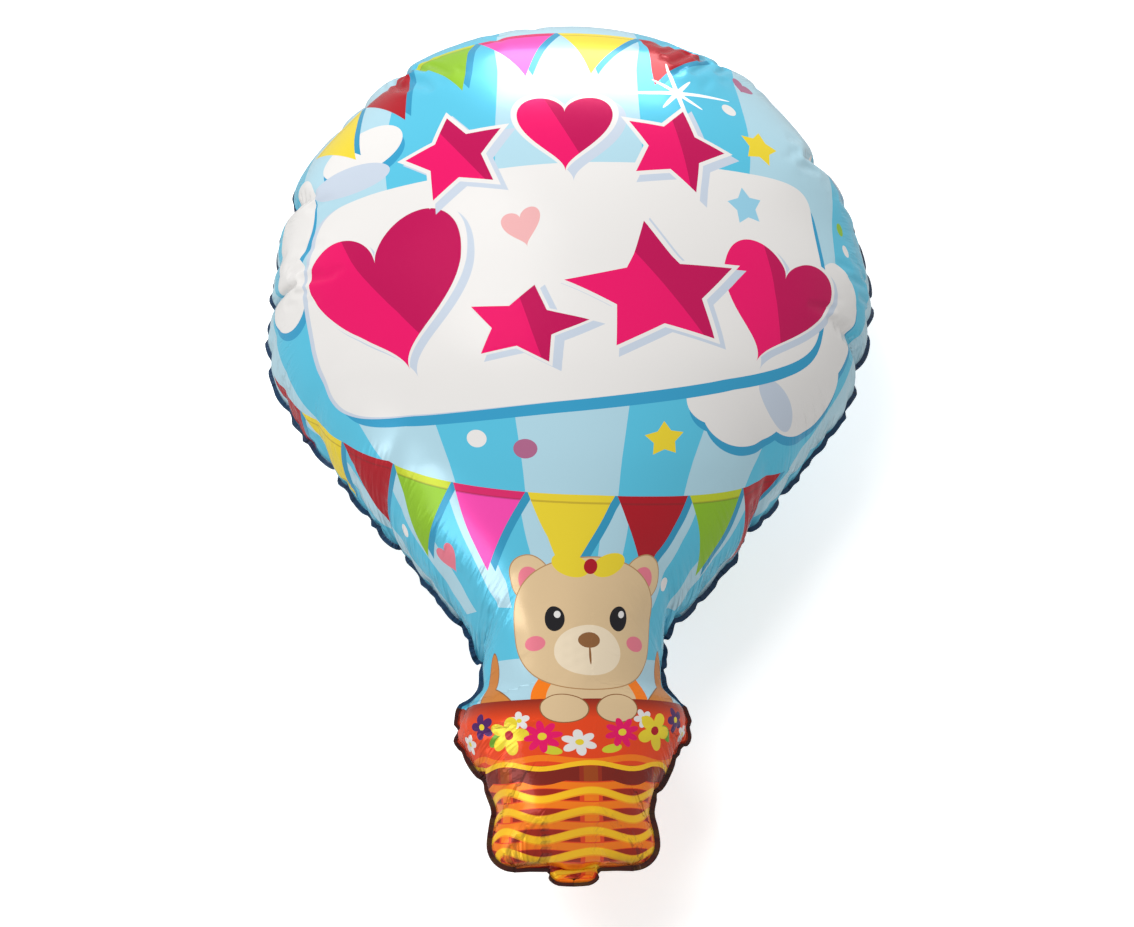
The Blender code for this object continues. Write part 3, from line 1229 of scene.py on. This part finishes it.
@dataclass(frozen=True)
class Palette:
    """The print's inks, as linear colours."""

    sky: tuple = (0.095, 0.52, 0.72)
    pale_sky: tuple = (0.43, 0.66, 0.76)
    deep_sky: tuple = (0.035, 0.33, 0.56)
    paper: tuple = (0.80, 0.78, 0.76)
    shade: tuple = (0.55, 0.62, 0.72)
    magenta: tuple = (0.80, 0.002, 0.13)
    deep_magenta: tuple = (0.50, 0.0, 0.085)
    crimson: tuple = (0.42, 0.004, 0.014)
    yellow: tuple = (0.82, 0.64, 0.030)
    green: tuple = (0.26, 0.50, 0.018)
    pink: tuple = (0.92, 0.065, 0.42)
    rose: tuple = (0.80, 0.20, 0.27)
    mauve: tuple = (0.42, 0.13, 0.25)
    tan: tuple = (0.74, 0.54, 0.31)
    brown: tuple = (0.28, 0.12, 0.04)
    black: tuple = (0.01, 0.009, 0.012)
    rim: tuple = (0.82, 0.062, 0.008)
    # Painted shade for the creases at the rim's top and under the rim.
    rim_crease_shade: tuple = (0.16, 0.012, 0.006)
    wicker: tuple = (1.0, 0.56, 0.012)
    cane: tuple = (0.95, 0.21, 0.006)
    gap: tuple = (0.36, 0.016, 0.004)
    violet: tuple = (0.075, 0.01, 0.12)
    leaf: tuple = (0.16, 0.38, 0.02)
    mist: tuple = (0.30, 0.60, 0.76)
    blush: tuple = (0.80, 0.42, 0.42)
    cream: tuple = (0.88, 0.74, 0.54)
    umber: tuple = (0.46, 0.26, 0.11)
    rope: tuple = (0.62, 0.22, 0.04)
    young_leaf: tuple = (0.62, 0.60, 0.03)
    strand_edge: tuple = (0.95, 0.33, 0.008)
    lime: tuple = (0.52, 0.60, 0.022)
    cherry: tuple = (0.70, 0.02, 0.14)
    white: tuple = (1.0, 1.0, 1.0)

    @property
    def hems(self) -> dict:
        """The hems' colours, where they differ from the pennants'."""
        return {self.green: self.lime, self.pink: self.cherry}


INKS = Palette()


@dataclass
class BalloonPrint:
    """The print of one sheet: gores, banner, bunting, small motifs and the basket."""

    side: Side
    weave_top: float = -0.412
    gore_centre: Pair = (0.002, -0.80)
    gore_pitch_deg: float = 10.4
    gore_half: float = 0.27
    lower_centre: Pair = (0.0, -0.62)
    lower_pitch_deg: float = 7.3
    lower_shift: float = 0.40
    lower_half: float = 0.20
    lower_reach: float = 0.1
    cone_top: float = -0.10
    cone_end: float = -0.284
    banner_low: tuple = (-0.122, 0.13, 0.70)
    banner_high: tuple = (0.056, 0.045, 0.0)
    banner_half: float = 0.174
    banner_shift: float = 0.01
    banner_power: float = 9.0
    cloud_shadow: Pair = (0.003, -0.007)
    charm_shadow: Pair = (0.0045, -0.0040)
    bunting_centre: Pair = (0.035, 0.262)
    bunting_radius: float = 0.460
    strand_pitch: float = 0.0148
    strand_wave: float = 0.0034
    upright_pitch: float = 0.056
    upright_shift: float = 0.010
    upright_halves: Pair = (0.0066, 0.0042)
    strand_top: float = 0.0115
    strand_shift: float = 0.35
    shade_half: float = 0.007
    shade_share: float = 0.75
    rim_fade: float = 0.016
    rim_shade: float = 0.85
    passenger_at: Pair = (0.014, -0.298)
    paws_at: Pair = (0.012, -0.366)
    paw_spread: float = 0.017
    paw_turn_deg: float = 8.0
    flower_turn: float = 2000.0
    flower_middle: float = 0.23

    def draw(self, ink: Ink) -> None:
        """Lays the whole print, the envelope first.

        Args:
            ink: what draws the print.
        """
        self.gores(ink)
        if self.side is Side.FRONT:
            self.clouds(ink)
            self.banner(ink)
        self.buntings(ink)
        self.confetti(ink)
        if self.side is Side.FRONT:
            self.charms(ink)
        self.neck(ink)
        self.basket(ink)

    def gores(self, ink: Ink) -> None:
        """Pale gores that meet far under the basket, and narrower ones in the cone.

        Args:
            ink: what draws the print.
        """
        x, y = ink.local(self.gore_centre)
        pitch = math.radians(self.gore_pitch_deg)
        folded = ink.folded(ink.bearing(x, y), pitch / 2)
        ink.paint(ink.under(folded, pitch * self.gore_half), INKS.pale_sky)
        cone = ink.over(ink.away(self.bunting_centre), self.bunting_radius)
        ink.paint(ink.both(cone, ink.under(ink.y, self.cone_top)), INKS.sky)
        x, y = ink.local(self.lower_centre)
        pitch = math.radians(self.lower_pitch_deg)
        angle = ink.math("ADD", ink.bearing(x, y), pitch * self.lower_shift)
        folded = ink.folded(angle, pitch / 2)
        cone = ink.over(ink.away(self.bunting_centre), self.bunting_radius)
        lower = ink.within(ink.y, self.cone_end + self.lower_reach, self.lower_reach)
        stripe = ink.under(folded, pitch * self.lower_half)
        ink.paint(ink.both(cone, lower, stripe), INKS.pale_sky)

    def clouds(self, ink: Ink) -> None:
        """Clouds at both ends of the banner, with a darker sky under them.

        Args:
            ink: what draws the print.
        """
        puffs = (
            ((-0.140, 0.090), (0.036, 0.022)), ((-0.215, 0.050), (0.036, 0.044)),
            ((-0.212, -0.012), (0.036, 0.034)), ((0.190, -0.045), (0.034, 0.052)),
            ((0.175, -0.105), (0.044, 0.036)), ((0.125, -0.124), (0.040, 0.030)),
            ((0.096, -0.116), (0.024, 0.022)), ((0.235, 0.110), (0.030, 0.022)),
        )
        right, up = self.cloud_shadow
        dab(ink, *[((x + right, y + up), size, INKS.deep_sky) for (x, y), size in puffs])
        dab(ink, *[(at, size, INKS.paper) for at, size in puffs])
        dab(ink, ((-0.146, 0.066), (0.036, 0.012), INKS.shade))
        dab(ink, ((0.150, -0.118), (0.030, 0.010), INKS.shade, -38.0))

    def banner(self, ink: Ink) -> None:
        """A white banner with rounded ends, on its own shadow.

        Args:
            ink: what draws the print.
        """
        for shift, colour in (
            ((0.004, -0.009), INKS.deep_sky), ((-0.005, -0.001), INKS.shade), ((0.0, 0.0), INKS.paper)
        ):
            x, y = ink.local(shift)
            low = ink.curve(x, *self.banner_low)
            high = ink.curve(x, *self.banner_high)
            rise = ink.math("DIVIDE", ink.minus(y, low), ink.minus(high, low))
            rise = ink.line(rise, 2.0, -1.0)
            across = ink.line(x, 1 / self.banner_half, self.banner_shift)
            ends = ink.math("POWER", ink.absolute(across), self.banner_power)
            edges = ink.math("POWER", ink.absolute(rise), self.banner_power)
            ink.paint(ink.under(ink.math("ADD", ends, edges), 1.0), colour)

    def buntings(self, ink: Ink) -> None:
        """A row of pennants over the crown and one that hangs across the cone.

        Args:
            ink: what draws the print.
        """
        red, gold, green, pink = INKS.crimson, INKS.yellow, INKS.green, INKS.pink
        upper = (gold, red, green, pink, gold, red)
        if self.side is Side.BACK:
            upper += (green, gold, red)
        Bunting((0.0, -0.083), 0.288, 0.0563, 0.070, -45.8, upper, hangs_inwards=True).draw(ink)
        lower = (red, gold, red, green, pink, gold, red, green, red)
        Bunting(self.bunting_centre, self.bunting_radius, 0.0572, 0.066, -43.35, lower).draw(ink)

    def charms(self, ink: Ink) -> None:
        """Large generic hearts and stars in the banner's field and above it.

        Args:
            ink: what draws the print.
        """
        for shape, at, size, turn, outline in (
            (Heart, (-0.106, -0.046), 0.058, 12.0, 0.07), (Heart, (0.128, -0.050), 0.046, -14.0, 0.07),
            (Star, (-0.023, -0.060), 0.034, -12.0, 0.12), (Star, (0.050, -0.032), 0.052, 8.0, 0.12),
            (Star, (-0.066, 0.068), 0.033, 14.0, 0.18), (Heart, (0.000, 0.073), 0.029, 0.0, 0.13),
            (Star, (0.066, 0.072), 0.033, -16.0, 0.18),
        ):
            shape(
                at, size, INKS.magenta, turn, INKS.deep_magenta, outline=outline,
                outline_colour=INKS.paper, shadow=self.charm_shadow, shadow_colour=INKS.shade,
            ).draw(ink)

    def confetti(self, ink: Ink) -> None:
        """Small stars, hearts and dots over the envelope.

        Args:
            ink: what draws the print.
        """
        for at, size, colour, turn in (
            ((0.128, 0.085), 0.0150, INKS.yellow, -12.0), ((0.061, -0.152), 0.0145, INKS.yellow, 8.0),
            ((0.112, 0.036), 0.0135, INKS.mist, 10.0), ((-0.205, 0.150), 0.0120, INKS.yellow, -8.0),
        ):
            Star(at, size, colour, turn, waist=0.56).draw(ink)
        for at, size, colour, turn in (
            ((0.137, 0.157), 0.0110, INKS.mauve, -24.0), ((-0.104, -0.244), 0.0110, INKS.rose, 14.0),
            ((-0.022, 0.012), 0.0110, INKS.blush, 16.0),
        ):
            Heart(at, size, colour, turn).draw(ink)
        dab(ink, *[(at, (radius, radius), colour) for at, radius, colour in (
            ((-0.058, -0.150), 0.0070, INKS.paper), ((-0.026, -0.160), 0.0078, INKS.mauve),
            ((0.088, -0.266), 0.0050, INKS.paper), ((0.212, 0.040), 0.0055, INKS.green),
            ((0.214, 0.022), 0.0050, INKS.paper), ((0.112, 0.116), 0.0055, INKS.paper),
            ((-0.150, -0.215), 0.0050, INKS.paper),
        )])
        if self.side is Side.FRONT:
            at = (0.074, 0.121)
            for turn, reach in ((8.0, 0.042), (98.0, 0.034), (53.0, 0.020), (143.0, 0.020)):
                dab(ink, (at, (reach, 0.0016), INKS.white, turn))
            dab(ink, (at, (0.0050, 0.0050), INKS.white))

    def neck(self, ink: Ink) -> None:
        """The pale neck between the ropes, with the passenger in front of it.

        Args:
            ink: what draws the print.
        """
        x, y = ink.local((0.010, -0.350), (0.088, 0.026))
        panel = ink.under(ink.most(ink.absolute(x), y), 1.0)
        ink.paint(ink.both(panel, ink.over(y, -1.0)), INKS.pale_sky)
        ropes = (
            ((-0.071, -0.341), (0.0070, 0.0230), 14.0), ((-0.056, -0.357), (0.0200, 0.0065), -26.0),
            ((0.089, -0.339), (0.0080, 0.0230), -22.0), ((0.070, -0.357), (0.0230, 0.0070), 28.0),
        )
        for line, colour in ((0.0009, INKS.brown), (0.0, INKS.rope)):
            dab(ink, *[(at, (a + line, b + line), colour, turn) for at, (a, b), turn in ropes])
        if self.side is Side.FRONT:
            self.passenger(ink)

    def passenger(self, ink: Ink) -> None:
        """A generic teddy bear that looks over the basket's rim.

        Args:
            ink: what draws the print.
        """
        fur, dark, pale, line = INKS.tan, INKS.brown, INKS.cream, INKS.umber
        x, y = self.passenger_at
        for ear in (x - 0.046, x + 0.046):
            dab(ink, ((ear, y + 0.036), (0.0185, 0.0185), line), ((ear, y + 0.036), (0.0176, 0.0176), fur))
            dab(ink, ((ear, y + 0.035), (0.0100, 0.0100), INKS.rose))
        dab(
            ink,
            ((x, y - 0.055), (0.041, 0.030), INKS.cane), ((x, y - 0.058), (0.030, 0.026), fur),
            ((x, y), (0.0659, 0.0529), line), ((x, y), (0.0650, 0.0520), fur),
            ((x, y - 0.021), (0.0270, 0.0200), pale), ((x, y - 0.013), (0.0090, 0.0062), dark),
            ((x, y - 0.025), (0.0009, 0.0075), dark),
            ((x - 0.027, y + 0.004), (0.0084, 0.0098), INKS.black),
            ((x + 0.027, y + 0.004), (0.0084, 0.0098), INKS.black),
            ((x - 0.0245, y + 0.0075), (0.0028, 0.0028), INKS.paper),
            ((x + 0.0295, y + 0.0075), (0.0028, 0.0028), INKS.paper),
            ((x - 0.044, y - 0.015), (0.0095, 0.0060), INKS.rose),
            ((x + 0.044, y - 0.015), (0.0095, 0.0060), INKS.rose),
            ((x - 0.014, y + 0.046), (0.0135, 0.0085), INKS.yellow, -24.0),
            ((x + 0.014, y + 0.046), (0.0135, 0.0085), INKS.yellow, 24.0),
            ((x, y + 0.045), (0.0050, 0.0060), INKS.crimson),
        )

    def basket(self, ink: Ink) -> None:
        """The flowered rim, with painted shade at its top where the film creases, and the woven body.

        Args:
            ink: what draws the print.
        """
        ink.paint(ink.under(ink.y, BASKET_TOP), INKS.rim)
        # Painted shade: the rim darkens towards its top, where the film creases into the envelope.
        fade = ink.line(ink.y, 1 / self.rim_fade, 1 - BASKET_TOP / self.rim_fade)
        below = ink.under(ink.y, BASKET_TOP)
        ink.paint(ink.both(below, ink.most(fade, 0.0), self.rim_shade), INKS.rim_crease_shade)
        self.weave(ink)
        if self.side is Side.FRONT:
            for side in (-1, 1):
                paw = (self.paws_at[0] + side * self.paw_spread, self.paws_at[1])
                turn = side * self.paw_turn_deg
                dab(ink, (paw, (0.0150, 0.0120), INKS.brown, turn), (paw, (0.0142, 0.0112), INKS.tan, turn))
        self.flowers(ink)

    def weave(self, ink: Ink) -> None:
        """Wavy strands over dark gaps and short uprights, under a wavy double edge, with a band of painted
        shade under the rim's crease.

        Args:
            ink: what draws the print.
        """
        below = ink.under(ink.y, self.weave_top)
        ink.paint(below, INKS.gap)
        across = ink.minus(ink.x, self.upright_shift)
        swing = ink.math("COSINE", ink.times(across, TURN / self.upright_pitch))
        near = ink.folded(across, self.upright_pitch / 2)
        for half, colour in zip(self.upright_halves, (INKS.rim, INKS.cane)):
            ink.paint(ink.both(below, ink.under(near, half)), colour)
        # Painted shade: a dark band just under the rim, where the film creases between the rim and the
        # basket.
        shaded = ink.within(ink.y, self.weave_top - self.shade_half, self.shade_half)
        ink.paint(ink.times(shaded, self.shade_share), INKS.rim_crease_shade)
        level = ink.line(swing, -self.strand_wave, ink.y)
        strands = ink.under(level, self.weave_top - self.strand_top)
        for wave, offset, width, colour in (
            (0.25, 0.49, 0.235, INKS.rim), (0.25, 0.50, 0.185, INKS.cane),
            (-1.0, 0.0, 0.220, INKS.strand_edge), (-1.0, -0.02, 0.165, INKS.wicker),
        ):
            level = ink.line(swing, wave * self.strand_wave, ink.y)
            row = ink.line(level, 1 / self.strand_pitch, offset + self.strand_shift)
            strand = ink.under(ink.folded(row, 0.5), width)
            ink.paint(ink.both(strands, strand), colour)
        for wave, level, half, colour in (
            (0.0016, 0.0045, 0.0024, INKS.cane), (-0.0022, 0.0, 0.0019, INKS.wicker)
        ):
            edge = ink.line(swing, wave, ink.y)
            ink.paint(ink.within(edge, self.weave_top + level, half), colour)

    def flowers(self, ink: Ink) -> None:
        """Simple flowers and leaves along the rim.

        Args:
            ink: what draws the print.
        """
        dab(
            ink,
            ((-0.054, -0.391), (0.0085, 0.0042), INKS.leaf, 40.0),
            ((0.072, -0.386), (0.0085, 0.0042), INKS.leaf, -45.0),
            ((-0.012, -0.400), (0.0070, 0.0032), INKS.young_leaf, -14.0),
            ((0.024, -0.399), (0.0070, 0.0032), INKS.young_leaf, 14.0),
        )
        for at, size, colour, middle, petals in (
            ((-0.084, -0.392), 0.0085, INKS.paper, INKS.yellow, 5),
            ((-0.066, -0.379), 0.0115, INKS.violet, INKS.yellow, 5),
            ((-0.034, -0.376), 0.0080, INKS.paper, INKS.yellow, 5),
            ((-0.043, -0.388), 0.0160, INKS.yellow, INKS.crimson, 5),
            ((-0.018, -0.389), 0.0130, INKS.magenta, INKS.yellow, 8),
            ((0.004, -0.394), 0.0105, INKS.paper, INKS.yellow, 6),
            ((0.032, -0.386), 0.0125, INKS.magenta, INKS.yellow, 8),
            ((0.048, -0.374), 0.0080, INKS.paper, INKS.yellow, 5),
            ((0.059, -0.384), 0.0160, INKS.yellow, INKS.crimson, 5),
            ((0.084, -0.374), 0.0115, INKS.violet, INKS.yellow, 5),
            ((0.100, -0.386), 0.0085, INKS.paper, INKS.yellow, 5),
        ):
            Blossom(at, size, colour, self.flower_turn * at[0], petals=petals).draw(ink)
            core = size * self.flower_middle
            dab(ink, (at, (core, core), middle))


@dataclass(frozen=True)
class FoilFinish:
    """Printed metallised film: gloss, a little metal, creases and fine wrinkles at the seam, and painted
    shade towards the seam.
    """

    metallic: float = 0.30
    roughness: float = 0.24
    coat: float = 0.25
    coat_roughness: float = 0.08
    specular: float = 0.30
    wrinkle_height: float = 0.0054
    wrinkle_reach: float = 0.075
    fold_height: float = 0.0085
    fold_reach: float = 0.034
    crease_height: float = 0.018
    crease_reach: float = 0.045
    # Painted shade and painted dark reflection: navy over the envelope's edge and flange, dark red-brown
    # over the basket's.
    seam_shade_colour: tuple = (0.004, 0.030, 0.090)
    basket_seam_shade_colour: tuple = (0.035, 0.004, 0.003)
    edge_shade: float = 0.55
    edge_reach: float = 0.011
    flange_shade: float = 0.97
    flange_start: float = -0.0002
    wrinkle_size: Pair = (0.0046, 0.035)
    group_size: Pair = (0.055, 0.050)
    group_gain: Pair = (5.0, -1.8)
    group_limits: Pair = (0.15, 1.3)
    fold_size: Pair = (0.017, 0.120)
    crease_size: Pair = (0.042, 0.300)
    fade_end: float = 0.28

    def material(self, name: str, printed: BalloonPrint) -> bpy.types.Material:
        """The film's material with its print.

        Args:
            name: the material's name.
            printed: the sheet's print.

        Returns:
            The material.
        """
        material = bpy.data.materials.new(name)
        material.use_nodes = True
        ink = Ink(material, INKS.sky)
        printed.draw(ink)
        shader = material.node_tree.nodes["Principled BSDF"]
        set_inputs(shader, {
            "Metallic": self.metallic, "Roughness": self.roughness, "Coat Weight": self.coat,
            "Specular IOR Level": self.specular, "Coat Roughness": self.coat_roughness,
        })
        along, inset = self.seam(ink)
        # Painted shade and painted dark reflection over the print near the seam.
        self.paint_seam_shade(ink, inset)
        ink.links.new(ink.colour, shader.inputs["Base Color"])
        ink.links.new(self.wrinkles(ink, along, inset), shader.inputs["Normal"])
        return material

    def seam(self, ink: Ink) -> tuple[Socket, Socket]:
        """The distance along the seam and the distance in from it, in metres.

        Args:
            ink: what draws the print.

        Returns:
            The sockets of both.
        """
        uv = ink.nodes.new("ShaderNodeUVMap")
        uv.uv_map = "seam"
        along = ink.vector("DOT_PRODUCT", uv.outputs["UV"], (1.0, 0.0, 0.0)).outputs["Value"]
        inset = ink.vector("DOT_PRODUCT", uv.outputs["UV"], (0.0, 1.0, 0.0)).outputs["Value"]
        length_scale, inset_scale = SEAM_SCALE
        inset = ink.line(inset, inset_scale, -INSET_SHIFT * inset_scale)
        return ink.times(along, length_scale), inset

    def paint_seam_shade(self, ink: Ink, inset: Socket) -> None:
        """Darkens the print towards the seam, and the flange most: painted shade and painted dark
        reflection, standing in for the dark surroundings that the foil reflects at its edges.

        Args:
            ink: what draws the print.
            inset: the distance in from the seam.
        """
        # Painted shade near the seam, darkest on the flange.
        near = ink.times(self.fade(ink, inset, self.edge_reach), self.edge_shade)
        flange = ink.times(ink.under(inset, self.flange_start), self.flange_shade)
        dark = ink.most(near, flange)
        basket = ink.under(ink.y, BASKET_TOP)
        ink.paint(ink.both(dark, ink.minus(1.0, basket)), self.seam_shade_colour)
        ink.paint(ink.both(dark, basket), self.basket_seam_shade_colour)

    def wrinkles(self, ink: Ink, along: Socket, inset: Socket) -> Socket:
        """A bump of sharp creases, soft folds and groups of fine wrinkles, all from the seam in.

        Args:
            ink: what draws the print.
            along: the distance along the seam.
            inset: the distance in from the seam.

        Returns:
            The bumped normal's socket.
        """
        fine = self.noise(ink, along, inset, self.wrinkle_size, 1.0)
        group = self.noise(ink, along, inset, self.group_size, 1.0)
        group = ink.line(group, *self.group_gain)
        group = ink.most(group, self.group_limits[0])
        group = ink.math("MINIMUM", group, self.group_limits[1])
        height = ink.both(fine, group, self.fade(ink, inset, self.wrinkle_reach), self.wrinkle_height)
        folds = self.noise(ink, along, inset, self.fold_size, 1.0)
        folds = ink.both(folds, self.fade(ink, inset, self.fold_reach), self.fold_height)
        height = ink.math("ADD", height, folds)
        valley = self.noise(ink, along, inset, self.crease_size, 0.0)
        valley = ink.absolute(ink.minus(valley, 0.5))
        valley = ink.both(valley, self.fade(ink, inset, self.crease_reach), self.crease_height)
        bump = ink.nodes.new("ShaderNodeBump")
        set_inputs(bump, {"Strength": 1.0, "Distance": 1.0})
        ink.links.new(ink.math("ADD", height, valley), bump.inputs["Height"])
        return bump.outputs["Normal"]

    def fade(self, ink: Ink, inset: Socket, reach: float) -> Socket:
        """A share that is 1 at the seam and falls to 0 at about one and a half reaches.

        Args:
            ink: what draws the print.
            inset: the distance in from the seam.
            reach: the distance over which it mostly falls.

        Returns:
            The share's socket.
        """
        share = ink.math("EXPONENT", ink.times(ink.most(inset, 0.0), -1 / reach))
        share = ink.line(share, 1 + self.fade_end, -self.fade_end)
        return ink.most(share, 0.0)

    def noise(self, ink: Ink, along: Socket, inset: Socket, size: Pair, detail: float) -> Socket:
        """Noise in the seam's coordinates, with features of a size.

        Args:
            ink: what draws the print.
            along: the distance along the seam.
            inset: the distance in from the seam.
            size: the features' size along the seam and in from it.
            detail: how much finer detail it has.

        Returns:
            The socket of a value from 0 to 1.
        """
        place = ink.nodes.new("ShaderNodeCombineXYZ")
        for socket, value, scale in zip(place.inputs, (along, inset), size):
            ink.links.new(ink.times(value, 1 / scale), socket)
        node = ink.nodes.new("ShaderNodeTexNoise")
        node.noise_dimensions = "2D"
        set_inputs(node, {"Scale": 1.0, "Detail": detail})
        ink.links.new(place.outputs[0], node.inputs["Vector"])
        return node.outputs[0]


@dataclass
class Studio:
    """The pale floor, the soft lights and the camera over the lying balloon."""

    elevation_deg: float = 78.0
    roll_deg: float = 0.7
    distance: float = 1.75
    lens_mm: float = 69.2
    sensor_mm: float = 36.0
    aim: tuple = (-0.0015, -0.0175, 0.13)
    floor_half_size: float = 3.0
    floor_grey: float = 0.90
    floor_glow: float = 0.46
    floor_roughness: float = 0.9
    sky_strength: float = 0.48
    white: tuple = (1.0, 1.0, 1.0, 1.0)

    def build(self) -> None:
        """Makes the floor, the lights and the camera."""
        self.floor()
        self.light("crown_light", (0.10, 1.45, 0.42), 0.8, 8.5)
        self.light("left_light", (-1.25, -0.95, 0.55), 0.6, 2.6)
        key = self.light("key_light", (-0.75, 0.85, 2.3), 1.2, 48.0)
        key.visible_glossy = False
        world = bpy.data.worlds.new("studio")
        world.use_nodes = True
        background = world.node_tree.nodes["Background"]
        set_inputs(background, {"Color": self.white, "Strength": self.sky_strength})
        bpy.context.scene.world = world
        self.camera()
        bpy.context.scene.view_settings.view_transform = "Standard"

    def floor(self) -> None:
        """A plain pale floor under the balloon."""
        half = self.floor_half_size
        mesh = bpy.data.meshes.new("floor")
        corners = [(-half, -half, 0.0), (half, -half, 0.0), (half, half, 0.0), (-half, half, 0.0)]
        mesh.from_pydata(corners, [], [(0, 1, 2, 3)])
        material = bpy.data.materials.new("pale_floor")
        material.use_nodes = True
        shader = material.node_tree.nodes["Principled BSDF"]
        grey = self.floor_grey
        set_inputs(shader, {
            "Base Color": (grey, grey, grey, 1.0), "Emission Color": self.white,
            "Emission Strength": self.floor_glow, "Roughness": self.floor_roughness,
        })
        mesh.materials.append(material)
        floor = add_object("floor", mesh)
        floor.visible_glossy = False

    def light(self, name: str, place: tuple, size: float, power: float) -> bpy.types.Object:
        """A square soft light that points at the balloon.

        Args:
            name: the light's name.
            place: where it hangs.
            size: the length of its side.
            power: its power in watts.

        Returns:
            The light's object.
        """
        light = bpy.data.lights.new(name, "AREA")
        light.size, light.energy = size, power
        lamp = add_object(name, light)
        lamp.location = place
        lamp.rotation_euler = (Vector(self.aim) - Vector(place)).to_track_quat("-Z", "Y").to_euler()
        return lamp

    def camera(self) -> None:
        """The camera, which looks down on the balloon from a little below its tail."""
        elevation = math.radians(self.elevation_deg)
        back = Vector((0.0, -math.cos(elevation), math.sin(elevation)))
        data = bpy.data.cameras.new("camera")
        data.lens, data.sensor_width = self.lens_mm, self.sensor_mm
        camera = add_object("camera", data)
        camera.location = Vector(self.aim) + back * self.distance
        camera.rotation_mode = "QUATERNION"
        look = (-back).to_track_quat("-Z", "Y")
        roll = Vector((0.0, 0.0, 1.0))
        camera.rotation_quaternion = look @ Quaternion(roll, math.radians(-self.roll_deg))
        bpy.context.scene.camera = camera


def main() -> None:
    """Builds the balloon and the studio round it."""
    logging.basicConfig(level=logging.INFO, format="%(message)s")
    film = Inflation().run().finer(CUT)
    film.place = Fit().place(film)
    for side in Side:
        sheet = FoilSheet(side, film).build()
        sheet.data.materials.append(FoilFinish().material("printed_" + side.value, BalloonPrint(side)))
        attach(sheet, "root")
        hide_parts(side.value)
        LOG.info("%s: %d triangles", sheet.name, len(sheet.data.polygons))
    Studio().build()


if __name__ == "__main__":
    main()
